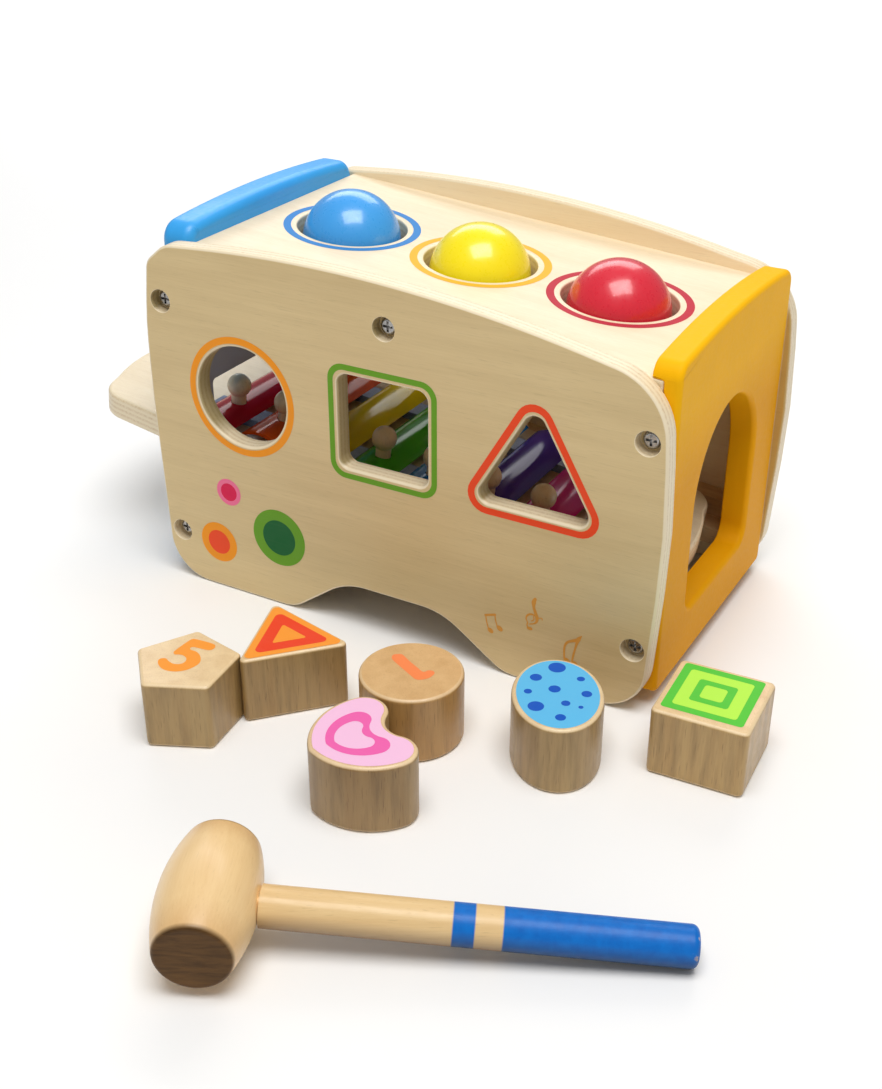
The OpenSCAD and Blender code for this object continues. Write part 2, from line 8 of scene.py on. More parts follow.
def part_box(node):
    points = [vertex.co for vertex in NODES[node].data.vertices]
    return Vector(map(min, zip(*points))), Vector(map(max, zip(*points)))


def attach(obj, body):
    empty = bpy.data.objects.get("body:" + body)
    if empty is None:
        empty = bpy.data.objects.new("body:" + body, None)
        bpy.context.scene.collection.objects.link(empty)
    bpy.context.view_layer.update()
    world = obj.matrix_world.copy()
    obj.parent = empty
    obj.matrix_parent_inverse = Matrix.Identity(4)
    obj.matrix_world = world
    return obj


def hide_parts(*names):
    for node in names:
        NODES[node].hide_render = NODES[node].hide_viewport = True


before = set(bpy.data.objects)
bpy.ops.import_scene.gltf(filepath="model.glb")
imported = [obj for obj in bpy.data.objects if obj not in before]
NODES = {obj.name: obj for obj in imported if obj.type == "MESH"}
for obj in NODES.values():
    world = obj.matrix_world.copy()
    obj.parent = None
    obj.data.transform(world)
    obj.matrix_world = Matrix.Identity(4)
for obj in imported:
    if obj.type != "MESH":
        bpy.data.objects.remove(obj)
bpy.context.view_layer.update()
MM = 0.001
scene = bpy.context.scene

# Where the part's own coordinates start, in the row frame, in millimetres
FOOT_X, HALF_PANEL = 44.983, 4.5
ROOF_TILT, TRAY_TILT = math.radians(4.59), math.radians(6.4)
ROOF_NORMAL = Vector((math.sin(ROOF_TILT), 0, math.cos(ROOF_TILT)))
TRAY_NORMAL = Vector((math.sin(TRAY_TILT), 0, math.cos(TRAY_TILT)))
DECAL_LIFT = 0.06


def srgb(r, g, b):
    """A material's linear colour from sRGB values of 0 to 255."""
    return tuple(
        (c / 255 / 12.92 if c <= 10 else ((c / 255 + 0.055) / 1.055) ** 2.4)
        for c in (r, g, b)
    ) + (1.0,)


# ---- shader helpers


class Shader:
    """A material under construction: add() makes a node and wires or sets its inputs."""

    def __init__(self, name):
        self.material = bpy.data.materials.new(name)
        self.material.use_nodes = True
        self.tree = self.material.node_tree
        self.tree.nodes.clear()
        self.bsdf = self.add("ShaderNodeBsdfPrincipled")
        out = self.add("ShaderNodeOutputMaterial")
        self.tree.links.new(self.bsdf.outputs[0], out.inputs["Surface"])
        self.coords = self.add("ShaderNodeTexCoord").outputs["Object"]
        self.normal = self.add("ShaderNodeNewGeometry").outputs["Normal"]

    def add(self, kind, inputs=(), **props):
        n = self.tree.nodes.new(kind)
        for key, value in props.items():
            setattr(n, key, value)
        for key, value in dict(inputs).items():
            self.put(n.inputs[key], value)
        return n

    def put(self, socket, value):
        if isinstance(value, bpy.types.NodeSocket):
            self.tree.links.new(value, socket)
        else:
            socket.default_value = value

    def set(self, **inputs):
        for key, value in inputs.items():
            self.put(self.bsdf.inputs[key.replace("_", " ")], value)

    def math(self, operation, a, b=0.5, clamp=False):
        n = self.add("ShaderNodeMath", {0: a, 1: b}, operation=operation)
        n.use_clamp = clamp
        return n.outputs[0]

    def dot(self, vector, direction):
        n = self.add("ShaderNodeVectorMath", {0: vector, 1: direction}, operation="DOT_PRODUCT")
        return n.outputs["Value"]

    def stretch(self, scale, rotation=(0, 0, 0), vector=None):
        n = self.add(
            "ShaderNodeMapping",
            {
                "Vector": vector or self.coords,
                "Scale": scale,
                "Rotation": rotation,
            },
        )
        return n.outputs[0]

    def noise(self, vector, scale=1.0, detail=3.0, rough=0.5, distortion=0.0):
        n = self.add(
            "ShaderNodeTexNoise",
            {
                "Vector": vector,
                "Scale": scale,
                "Detail": detail,
                "Roughness": rough,
                "Distortion": distortion,
            },
        )
        return n.outputs[0]

    def span(self, value, low, high, to_low=0.0, to_high=1.0):
        n = self.add(
            "ShaderNodeMapRange",
            {
                "Value": value,
                "From Min": low,
                "From Max": high,
                "To Min": to_low,
                "To Max": to_high,
            },
        )
        return n.outputs[0]

    def times(self, a, b):
        return self.math("MULTIPLY", a, b)

    def mix(self, factor, a, b, blend="MIX"):
        n = self.add("ShaderNodeMix", data_type="RGBA", blend_type=blend)
        self.put(n.inputs[0], factor)
        self.put(n.inputs[6], a)
        self.put(n.inputs[7], b)
        return n.outputs[2]

    def bump(self, height, strength, distance=0.0002):
        n = self.add(
            "ShaderNodeBump", {"Height": height, "Strength": strength, "Distance": distance}
        )
        self.set(Normal=n.outputs[0])


def wood(
    name, pale, dark, rotation, rough=0.45, coat=0.15, figure=0.5, pores=0.35,
    plies=None, turned_tint=None, painted=None,
):
    """Wood whose grain runs along local X after rotation.

    plies is (normal, first face, thickness of one ply) in metres, for plywood's striped edges.
    turned_tint is (direction, low, high, tint): faces turned along the direction get painted
    shade.
    painted(shader, base) gives the final colour from the wood's own.
    """
    s = Shader(name)
    turned = s.stretch((1, 1, 1), rotation)
    fibre = s.noise(s.stretch((40, 1500, 1500), vector=turned), 1.0, 4.0, 0.6)
    flow = s.noise(s.stretch((7, 75, 75), vector=turned), 1.0, 3.0, 0.55, 0.8)
    bands = s.noise(s.stretch((4, 190, 190), vector=turned), 1.0, 2.0, 0.5, 0.3)
    patch = s.noise(s.stretch((9, 14, 14), vector=turned), 1.0, 2.0, 0.5)
    specks = s.noise(s.stretch((130, 2300, 2300), vector=turned), 1.0, 1.0, 0.5)
    tone = s.times(s.span(fibre, 0.3, 0.75), 0.28)
    tone = s.math("ADD", tone, s.times(s.span(flow, 0.35, 0.72), figure))
    tone = s.math("ADD", tone, s.times(s.span(bands, 0.4, 0.75), 0.5 * figure))
    tone = s.math("ADD", tone, s.span(patch, 0.2, 0.8, -0.18, 0.18), clamp=True)
    base = s.mix(tone, pale, dark)
    pore = s.times(s.span(specks, 0.64, 0.74), pores)
    base = s.mix(pore, base, tuple(0.5 * c for c in dark[:3]) + (1,))
    if plies:
        normal, face, ply = plies
        depth = s.math("SUBTRACT", s.dot(s.coords, normal), face)
        wobble = s.noise(s.stretch((60, 60, 60)), 1.0, 2.0)
        depth = s.math("ADD", depth, s.span(wobble, 0, 1, -0.0001, 0.0001))
        turn = s.math("FRACT", s.math("DIVIDE", depth, 2 * ply))
        crossed = s.span(turn, 0.47, 0.53)
        crossed = s.math("SUBTRACT", crossed, s.span(turn, 0.95, 1.0), clamp=True)
        end = s.noise(s.stretch((900, 900, 900)), 1.0, 3.0, 0.7)
        cross = s.mix(s.span(end, 0.3, 0.7), PLY_DARK, PLY_PALE)
        stripes = s.mix(crossed, PLY_PALE, cross)
        facing = s.math("ABSOLUTE", s.dot(s.normal, normal))
        base = s.mix(s.span(facing, 0.995, 0.93), base, PLY_PALE)
        base = s.mix(s.span(facing, 0.8, 0.6), base, stripes)
    if turned_tint:
        direction, low, high, tint = turned_tint
        along = s.math("ABSOLUTE", s.dot(s.normal, direction))
        base = s.mix(s.span(along, low, high), base, s.mix(1.0, base, tint + (1,), "MULTIPLY"))
    worn = s.noise(s.stretch((300, 300, 300)), 1.0, 2.0)
    s.set(
        Roughness=s.span(worn, 0.3, 0.7, rough - 0.05, rough + 0.06),
        Coat_Weight=coat,
        Coat_Roughness=0.25,
    )
    s.set(Base_Color=painted(s, base) if painted else base)
    s.bump(s.math("ADD", s.times(fibre, 0.5), s.times(pore, -0.8)), 0.25)
    return s.material


def paint(
    name, colour, rough=0.35, coat=0.4, grain=0.2, rotation=(0, 0, 0), peel=0.12,
    masked=None, gloss=0.5,
):
    """Paint on wood: the grain shows faintly through as relief and a slight change of tone.

    masked(shader, base) gives the final colour from the paint's own.
    """
    s = Shader(name)
    turned = s.stretch((1, 1, 1), rotation)
    grainy = s.noise(s.stretch((25, 700, 700), vector=turned), 1.0, 3.0, 0.6)
    cloud = s.noise(s.stretch((30, 30, 30)), 1.0, 3.0, 0.6)
    dark = tuple(0.82 * c for c in colour[:3]) + (1,)
    streaks = s.span(grainy, 0.3, 0.8, 0, 0.5 * grain)
    tone = s.math("ADD", streaks, s.span(cloud, 0.3, 0.7, 0, 0.25), clamp=True)
    base = s.mix(tone, colour, dark)
    worn = s.noise(s.stretch((500, 500, 500)), 1.0, 3.0)
    s.set(
        Base_Color=masked(s, base) if masked else base,
        Roughness=s.span(worn, 0.3, 0.7, rough - 0.06, rough + 0.08),
        Specular_IOR_Level=gloss,
        Coat_Weight=coat,
        Coat_Roughness=0.12,
    )
    skin = s.noise(s.stretch((420, 420, 420)), 1.0, 2.0)
    s.bump(s.math("ADD", s.times(grainy, grain), s.times(skin, peel)), 0.25)
    return s.material


def ink(name, colour, rotation=(0, 0, 0), grain=0.2):
    """Printed colour: thin, so the wood's fibres show in it."""
    s = Shader(name)
    turned = s.stretch((1, 1, 1), rotation)
    fibre = s.noise(s.stretch((40, 1500, 1500), vector=turned), 1.0, 4.0, 0.6)
    cloud = s.noise(s.stretch((60, 60, 60)), 1.0, 3.0, 0.6)
    worn = tuple(min(1.0, 0.85 * c + 0.08) for c in colour[:3]) + (1,)
    tone = s.span(fibre, 0.5, 0.85, 0, grain)
    tone = s.math("ADD", tone, s.span(cloud, 0.4, 0.8, 0, 0.12), clamp=True)
    s.set(Base_Color=s.mix(tone, colour, worn), Roughness=0.6, Specular_IOR_Level=0.25)
    s.bump(fibre, 0.12)
    return s.material


def metal(name, colour, rough):
    """Plated steel, a little cloudy."""
    s = Shader(name)
    grit = s.noise(s.stretch((900, 900, 900)), 1.0, 3.0)
    cloud = s.noise(s.stretch((250, 250, 250)), 1.0, 2.0)
    dull = tuple(0.8 * c for c in colour[:3]) + (1,)
    s.set(
        Base_Color=s.mix(s.span(cloud, 0.35, 0.7), colour, dull),
        Metallic=1.0,
        Roughness=s.span(grit, 0.3, 0.7, rough - 0.08, rough + 0.12),
    )
    s.bump(grit, 0.05)
    return s.material


def enamel(name, colour):
    """Smooth baked paint on steel."""
    s = Shader(name)
    cloud = s.noise(s.stretch((25, 25, 25)), 1.0, 2.0)
    deep = tuple(0.7 * c for c in colour[:3]) + (1,)
    s.set(
        Base_Color=s.mix(s.span(cloud, 0.35, 0.7, 0.3, 0.9), colour, deep),
        Roughness=s.span(cloud, 0.3, 0.7, 0.10, 0.14),
        Specular_IOR_Level=0.17,
    )
    return s.material


def rubber(name, colour):
    """Dull rubber with dust in its pores."""
    s = Shader(name)
    grit = s.noise(s.stretch((1200, 1200, 1200)), 1.0, 3.0)
    dusty = s.span(grit, 0.3, 0.7, 0, 0.4)
    s.set(Base_Color=s.mix(dusty, colour, (0.09, 0.09, 0.09, 1)), Roughness=0.7)
    s.bump(grit, 0.3)
    return s.material


def cloth(name, colour):
    """Felt."""
    s = Shader(name)
    fuzz = s.noise(s.stretch((1600, 1600, 1600)), 1.0, 4.0, 0.7)
    deep = tuple(0.6 * c for c in colour[:3]) + (1,)
    s.set(
        Base_Color=s.mix(s.span(fuzz, 0.3, 0.7), colour, deep),
        Roughness=0.95,
        Sheen_Weight=0.4,
    )
    s.bump(fuzz, 0.6, 0.0004)
    return s.material


# ---- materials

UP = (0, math.pi / 2, 0)
ACROSS = (0, 0, math.pi / 2)
BIRCH, BIRCH_DARK = srgb(240, 223, 192), srgb(219, 193, 152)
TAN, TAN_DARK = srgb(228, 203, 150), srgb(206, 179, 126)
PLY_PALE, PLY_DARK = srgb(240, 224, 192), srgb(217, 193, 153)
PLY = 1.29 * MM

# Where the masks below change over, in metres: x past the windows, z below them, x of the yellow
# board's outer face, z under the roof, and the heights over which painted shade deepens the yellow
WINDOWS_END, WINDOWS_LOW, FADE = 0.184, 0.050, 0.002
YELLOW_FACE = 0.204
CHAMBER_TOP = 0.148
YELLOW_SHADE_START_Z, YELLOW_SHADE_FULL_Z = 0.130, 0.098

PANEL_PLIES = ((0, 1, 0), -HALF_PANEL * MM, PLY)


def window_walls(s, base):
    """The windows' walls that face right lie in shade; their rims stay pale."""
    shaded = s.span(s.dot(s.normal, (1, 0, 0)), 0.45, 0.75)
    shaded = s.times(shaded, s.span(s.dot(s.coords, (1, 0, 0)), WINDOWS_END, WINDOWS_END - FADE))
    shaded = s.times(shaded, s.span(s.dot(s.coords, (0, 0, 1)), WINDOWS_LOW, WINDOWS_LOW + FADE))
    return s.mix(shaded, base, s.mix(1.0, base, (0.5, 0.47, 0.34, 1), "MULTIPLY"))


def painted_board_reflection(s, base):
    """Painted reflected light and shade: the yellow board's colour, darkened, on what shows of the
    rear panel beyond it.
    """
    inner = s.span(s.dot(s.normal, (0, -1, 0)), 0.5, 0.8)
    beyond = s.span(s.dot(s.coords, (1, 0, 0)), YELLOW_FACE - MM, YELLOW_FACE)
    tint = s.mix(1.0, base, (0.58, 0.46, 0.2, 1), "MULTIPLY")
    return s.mix(s.times(inner, beyond), base, tint)


# Painted light: the rear panel's birch is paler than the roof's, for the brighter light on its
# inner face
birch = wood(
    "birch_ply", srgb(252, 234, 198), srgb(236, 208, 162), (0, 0, 0), figure=0.35, pores=0.15,
    plies=PANEL_PLIES, painted=painted_board_reflection,
)
tan_birch = wood(
    "tan_birch_ply", TAN, TAN_DARK, (0, 0, 0), figure=0.4, pores=0.15, plies=PANEL_PLIES,
    painted=window_walls,
)
roof_wood = wood(
    "roof_ply", BIRCH, BIRCH_DARK, (0, 0, 0), figure=0.25, pores=0.12,
    plies=(tuple(ROOF_NORMAL), 0.0, PLY),
)
tray_wood = wood(
    "tray_ply", srgb(231, 213, 179), srgb(209, 183, 142), (0, 0, 0), figure=0.35, pores=0.2,
    plies=(tuple(TRAY_NORMAL), 0.0, PLY),
)
rail_wood = wood(
    "rail_wood", srgb(225, 196, 150), srgb(190, 152, 104), (0, 0, 0), coat=0.0, rough=0.6,
)


def block_streaks_and_rim_highlight(s, base):
    """Dark streaks up a block's sides, and a painted highlight that makes the rounded rims paler.
    """
    up = s.math("ABSOLUTE", s.dot(s.normal, (0, 0, 1)))
    streaks = s.noise(s.stretch((300, 300, 28)), 1.0, 3.0, 0.6)
    streaks = s.times(s.span(streaks, 0.44, 0.74, 0, 0.62), s.span(up, 0.6, 0.3))
    base = s.mix(streaks, base, s.mix(1.0, base, (0.5, 0.48, 0.45, 1), "MULTIPLY"))
    # Painted highlight: the rounded rims turn paler
    rim = s.times(s.span(up, 0.4, 0.6, 0, 0.35), s.span(up, 0.995, 0.93))
    return s.mix(rim, base, srgb(250, 226, 184))


# Each block's own tone: its top, and how much painted shade darkens its sides
BLOCK_TONES = {
    "circle": (srgb(228, 190, 138), srgb(204, 160, 108), 0.62),
    "square": (srgb(240, 212, 166), srgb(214, 178, 128), 0.55),
    "triangle": (srgb(240, 212, 166), srgb(212, 174, 124), 0.46),
    "pentagon": (srgb(242, 216, 172), srgb(220, 186, 138), 0.46),
    "heart": (srgb(238, 208, 164), srgb(208, 168, 122), 0.40),
    "oval": (srgb(240, 214, 170), srgb(214, 178, 132), 0.46),
}
block_woods = {
    shape: wood(
        "wood_" + shape, pale, dark, UP, figure=0.5, pores=0.5, coat=0.25, rough=0.4,
        # Painted shade on the sides
        turned_tint=((0, 0, 1), 0.7, 0.3, (1.12 * side, 0.97 * side, 0.64 * side)),
        painted=block_streaks_and_rim_highlight,
    )
    for shape, (pale, dark, side) in BLOCK_TONES.items()
}
pin_wood = wood("pin_wood", srgb(252, 230, 192), srgb(236, 206, 160), UP, coat=0.5, rough=0.32)


def grey_inside_below_roof(s, base):
    """Grey on the side towards the chamber, below the roof."""
    inward = s.span(s.dot(s.normal, (1, 0, 0)), 0.6, 0.9)
    below = s.span(s.dot(s.coords, (0, 0, 1)), CHAMBER_TOP, CHAMBER_TOP - FADE)
    return s.mix(s.times(inward, below), base, srgb(168, 172, 192))


def painted_shade_below(s, base):
    """Painted shade: the yellow board turns darker and deeper in colour below its top."""
    low = s.span(s.dot(s.coords, (0, 0, 1)), YELLOW_SHADE_START_Z, YELLOW_SHADE_FULL_Z)
    return s.mix(low, base, s.mix(1.0, base, (0.85, 0.74, 0.5, 1), "MULTIPLY"))


blue_paint = paint(
    "blue_paint", srgb(52, 168, 244), rotation=ACROSS, rough=0.42, coat=0.12,
    masked=grey_inside_below_roof,
)
yellow_paint = paint(
    "yellow_paint", srgb(254, 188, 10), rotation=UP, rough=0.5, coat=0.0, gloss=0.08,
    masked=painted_shade_below,
)
ball_paints = {
    "blue": paint("ball_blue", srgb(64, 164, 242), rough=0.3, coat=0.6, grain=0.1),
    "yellow": paint("ball_yellow", srgb(255, 236, 0), rough=0.3, coat=0.6, grain=0.1),
    "red": paint("ball_red", srgb(222, 36, 58), rough=0.3, coat=0.6, grain=0.1),
}
zinc = metal("zinc_steel", (0.42, 0.41, 0.4, 1), 0.22)
black_rubber = rubber("black_rubber", (0.035, 0.035, 0.038, 1))
felt = cloth("felt", srgb(150, 166, 196))
BAR_COLOURS = [
    (206, 18, 46), (236, 92, 26), (244, 214, 22), (70, 184, 34),
    (30, 130, 210), (74, 46, 150), (214, 40, 132), (20, 150, 150),
]
bar_paints = [enamel(f"bar_{i + 1}", srgb(*c)) for i, c in enumerate(BAR_COLOURS)]

# ---- pieces with eased edges


WELD = 2e-6
# Faces that differ by less than FLAT are one; edges above SHARP are rounded
FLAT, SHARP = math.radians(0.5), math.radians(32)
# Steps in a rounded edge or corner
ROUND_STEPS = 8


def shade(node, material):
    """Gives a CAD node that stays its material."""
    o = NODES[node]
    o.data.materials.clear()
    o.data.materials.append(material)


def eased(node, body, material, width, segments=3, share=None):
    """Stands a copy with rounded edges in for a CAD node.

    share gives the part of the width that the edge around a point gets.
    """
    mesh = NODES[node].data.copy()
    obj = bpy.data.objects.new(node + "_eased", mesh)
    scene.collection.objects.link(obj)
    bm = bmesh.new()
    bm.from_mesh(mesh)
    bmesh.ops.remove_doubles(bm, verts=bm.verts, dist=WELD)
    bmesh.ops.dissolve_limit(bm, angle_limit=FLAT, verts=bm.verts, edges=bm.edges)
    weight = bm.edges.layers.float.new("bevel_weight_edge")
    for e in bm.edges:
        if len(e.link_faces) == 2 and e.calc_face_angle(0.0) > SHARP:
            e[weight] = share((e.verts[0].co + e.verts[1].co) / 2) if share else 1.0
    for f in bm.faces:
        f.smooth = True
    bm.to_mesh(mesh)
    bm.free()
    if mesh.has_custom_normals:
        with bpy.context.temp_override(object=obj, active_object=obj):
            bpy.ops.mesh.customdata_custom_splitnormals_clear()
    if width:
        m = obj.modifiers.new("ease", "BEVEL")
        m.width = width * MM
        m.segments = segments
        m.limit_method = "WEIGHT"
        m.use_clamp_overlap = False
        m.miter_outer = "MITER_ARC"
    w = obj.modifiers.new("normals", "WEIGHTED_NORMAL")
    w.keep_sharp = False
    w.weight = 50
    mesh.materials.clear()
    mesh.materials.append(material)
    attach(obj, body)
    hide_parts(node)


# Points this near each other belong to one screw; a counterbore's rim lies this near its middle
HEAD_SPREAD, COUNTERBORE_REACH = 9 * MM, 5.6 * MM
# Points of an outline nearer than this are one
SAME_SPOT = 0.05 * MM


def screw_spots():
    """Middles of the panel screws, in x and z."""
    spots = []
    for v in NODES["panel_screws"].data.vertices:
        at = Vector((v.co.x, v.co.z))
        spot = next((k for k in spots if (k[0] - at).length < HEAD_SPREAD), None)
        if spot:
            spot.append(at)
        else:
            spots.append([at])
    return [sum(k, Vector((0, 0))) / len(k) for k in spots]


SCREW_SPOTS = screw_spots()
YELLOW_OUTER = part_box("right_board")[1][0]


def crisp_at_screws(at):
    """Panels: the counterbores keep nearly sharp rims."""
    nearest = min((Vector((at.x, at.z)) - k).length for k in SCREW_SPOTS)
    return 0.2 if nearest < COUNTERBORE_REACH else 1.0


def soft_outside(at):
    """Yellow board: the rims of its outer face are rounded most."""
    return 1.0 if at.x > YELLOW_OUTER - 0.1 * MM else 0.35


def inset(loop, d):
    """A closed loop moved by d towards its left side."""
    moved = []
    for i, at in enumerate(loop):
        u, v = (at - loop[i - 1]).normalized(), (loop[(i + 1) % len(loop)] - at).normalized()
        out = Vector((-u.y - v.y, u.x + v.x)).normalized()
        moved.append(at + out * d / max(0.5, out.dot(Vector((-u.y, u.x)))))
    return moved


def section_loops(node, x):
    """The loops in y and z that a plane across x cuts out of a CAD node.

    The solid lies on the left of each loop. The outline comes first, then the holes.
    """
    bm = bmesh.new()
    bm.from_mesh(NODES[node].data)
    bmesh.ops.remove_doubles(bm, verts=bm.verts, dist=WELD)
    cut = bmesh.ops.bisect_plane(
        bm, geom=bm.verts[:] + bm.edges[:] + bm.faces[:], plane_co=(x, 0, 0), plane_no=(1, 0, 0),
    )["geom_cut"]
    edges = [e for e in cut if isinstance(e, bmesh.types.BMEdge)]
    loops = []
    while edges:
        chain = list(edges.pop().verts)
        step = True
        while step:
            step = next((e for e in chain[-1].link_edges if e in edges), None)
            if step:
                edges.remove(step)
                chain.append(step.other_vert(chain[-1]))
        loop = []
        for v in chain:
            at = Vector((v.co.y, v.co.z))
            if not loop or (at - loop[-1]).length > SAME_SPOT:
                loop.append(at)
        if (loop[0] - loop[-1]).length < SAME_SPOT:
            loop.pop()
        loops.append(loop)
    bm.free()
    areas = [sum(a.x * b.y - b.x * a.y for a, b in zip(k, k[1:] + k[:1])) for k in loops]
    outline = max(range(len(loops)), key=lambda i: abs(areas[i]))
    loops = [k if (areas[i] > 0) == (i == outline) else k[::-1] for i, k in enumerate(loops)]
    return [loops.pop(outline)] + loops


def soft_board(node, material, round_r, hole_r):
    """An end board with well rounded edges, drawn from the CAD board's section."""
    low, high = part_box(node)
    middle, half = (low[0] + high[0]) / 2, (high[0] - low[0]) / 2
    bm = bmesh.new()
    caps = ([], [])
    for i, loop in enumerate(section_loops(node, middle)):
        r = (hole_r if i else round_r) * MM
        turns = [math.pi / 2 * k / ROUND_STEPS for k in range(ROUND_STEPS + 1)]
        levels = [(half - r + r * math.sin(t), r - r * math.cos(t)) for t in turns]
        levels = [(-x, d) for x, d in levels[::-1]] + levels
        rings = [[bm.verts.new((middle + x, q.x, q.y)) for q in inset(loop, d)] for x, d in levels]
        for a, b in zip(rings, rings[1:]):
            for k in range(len(loop)):
                bm.faces.new((a[k - 1], a[k], b[k], b[k - 1]))
        for cap, ring in zip(caps, (rings[0], rings[-1])):
            cap += [bm.edges.get((ring[k - 1], ring[k])) for k in range(len(ring))]
    for cap in caps:
        bmesh.ops.triangle_fill(bm, edges=cap, use_beauty=True, use_dissolve=True)
    bmesh.ops.recalc_face_normals(bm, faces=bm.faces)
    for f in bm.faces:
        f.smooth = True
    mesh = bpy.data.meshes.new(node + "_soft")
    bm.to_mesh(mesh)
    bm.free()
    mesh.materials.append(material)
    o = bpy.data.objects.new(node + "_soft", mesh)
    scene.collection.objects.link(o)
    o.modifiers.new("normals", "WEIGHTED_NORMAL").keep_sharp = False
    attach(o, "bench")
    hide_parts(node)


eased("front_panel", "bench", tan_birch, 1.3, 4, crisp_at_screws)
eased("rear_panel", "bench", birch, 1.3, 4, crisp_at_screws)
eased("roof_board", "bench", roof_wood, 0.8)
soft_board("left_board", blue_paint, 4.5, 1.0)
eased("right_board", "bench", yellow_paint, 2.4, 5, soft_outside)
eased("xylophone_tray", "xylophone", tray_wood, 1.6, 4)
for shape, material in block_woods.items():
    eased("block_" + shape, shape + "_block", material, 1.7, 4)
for node in ("tray_rail_front", "tray_rail_rear"):
    shade(node, rail_wood)
for node in ("panel_screws", "grip_ring_screws", "bar_nails"):
    shade(node, zinc)
for node in ("felt_strip_near", "felt_strip_far"):
    shade(node, felt)
shade("bar_pins", pin_wood)
for i, material in enumerate(bar_paints):
    shade(f"tone_bar_{i + 1}", material)


def centre(node):
    """Middle of a CAD node's box."""
    low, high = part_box(node)
    return (Vector(low) + Vector(high)) / 2


# A hair under the CAD ball's 22.5 mm, which the finer mesh would pass
BALL_R = 22.49
# How far the balls' middles lie below the roof's upper face
BALL_SUNK = 6.05


def ball(colour):
    """A finely meshed ball where the CAD one is."""
    bpy.ops.mesh.primitive_uv_sphere_add(segments=96, ring_count=64, radius=BALL_R * MM)
    o = bpy.context.object
    o.name = "painted_ball_" + colour
    o.data.transform(Matrix.Translation(centre("ball_" + colour)))
    o.data.shade_smooth()
    o.data.materials.append(ball_paints[colour])
    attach(o, colour + "_ball")
    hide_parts("ball_" + colour)


for colour in ball_paints:
    ball(colour)
    shade("grip_ring_" + colour, black_rubber)

# ---- mallet

# The middle of the mallet's head, and the handle's turn and drop from there
MALLET = Vector((170.2 - FOOT_X, -189.7 - HALF_PANEL, 17.6)) * MM
HANDLE_TURN = math.radians(25.8)
TIP, TIP_DROP = 163.0, 10.25
HANDLE_DROP = math.asin(TIP_DROP / TIP)
LEVEL = math.cos(HANDLE_DROP)
HANDLE_DIR = Vector(
    (math.cos(HANDLE_TURN) * LEVEL, math.sin(HANDLE_TURN) * LEVEL, -math.sin(HANDLE_DROP))
)
# Along the handle in millimetres: the narrow band's two ends, the grip's start, paint's blur
BANDS = (81.6, 89.0, 98.3)
BLUR, WORN_LENGTH = 0.25, 3.0


def banded(s, base):
    """Blue paint on the handle: a narrow band, a bare one, then the grip to its worn tip.

    The underside is darkened with painted shade, as in the photograph.
    """
    along = s.math("SUBTRACT", s.dot(s.coords, tuple(HANDLE_DIR)), MALLET.dot(HANDLE_DIR))
    along = s.times(along, 1 / MM)
    first = s.times(
        s.span(along, BANDS[0] - BLUR, BANDS[0] + BLUR),
        s.span(along, BANDS[1] + BLUR, BANDS[1] - BLUR),
    )
    grip = s.span(along, BANDS[2] - BLUR, BANDS[2] + BLUR)
    chips = s.noise(s.stretch((260, 260, 260)), 1.0, 4.0, 0.6)
    worn = s.times(s.span(along, TIP - WORN_LENGTH, TIP), s.span(chips, 0.57, 0.63))
    mask = s.math("SUBTRACT", s.math("ADD", first, grip, clamp=True), worn, clamp=True)
    blue = s.mix(s.span(chips, 0.3, 0.7), srgb(0, 101, 191), srgb(2, 116, 207))
    s.set(
        Coat_Weight=s.span(mask, 0, 1, 0.2, 0.12),
        Specular_IOR_Level=s.span(mask, 0, 1, 0.5, 0.25),
    )
    # Painted shade darkens the handle's underside
    under = s.span(s.dot(s.normal, (0, 0, 1)), 0.45, -0.6)
    painted_under_shade = s.mix(under, (1, 1, 1, 1), (0.26, 0.2, 0.16, 1))
    return s.mix(1.0, s.mix(mask, base, blue), painted_under_shade, "MULTIPLY")


handle_rotation = (0, HANDLE_DROP, -HANDLE_TURN)
head_rotation = (0, 0, math.pi / 2 - HANDLE_TURN)
HEAD_AXIS = Vector((-math.sin(HANDLE_TURN), math.cos(HANDLE_TURN), 0))
HEAD_HALF, HEAD_R, HEAD_END_R, HEAD_ROUND = 26.4, 17.6, 13.2, 1.8
BARREL_STEPS, HEAD_STEPS = 24, 144


def end_grain_and_shade(s, base):
    """Streaky dark end grain on both mallet faces; painted shade darkens the wood near them."""
    along = s.math("SUBTRACT", s.dot(s.coords, tuple(HEAD_AXIS)), MALLET.dot(HEAD_AXIS))
    along = s.math("ABSOLUTE", s.times(along, 1 / MM))
    face = s.span(along, HEAD_HALF - 2.0, HEAD_HALF - 0.3)
    # Painted shade: the wood near the faces is darker
    near = s.span(along, HEAD_HALF - 12.0, HEAD_HALF - 2.0)
    base = s.mix(near, base, s.mix(1.0, base, (0.88, 0.8, 0.72, 1), "MULTIPLY"))
    streaks = s.noise(s.stretch((70, 70, 420)), 1.0, 4.0, 0.6, 0.4)
    dark = s.mix(s.span(streaks, 0.3, 0.7), srgb(108, 76, 40), srgb(69, 47, 23))
    s.set(
        Coat_Weight=s.span(face, 0, 1, 0.25, 0.0),
        Specular_IOR_Level=s.span(face, 0, 1, 0.5, 0.15),
    )
    return s.mix(face, base, dark)


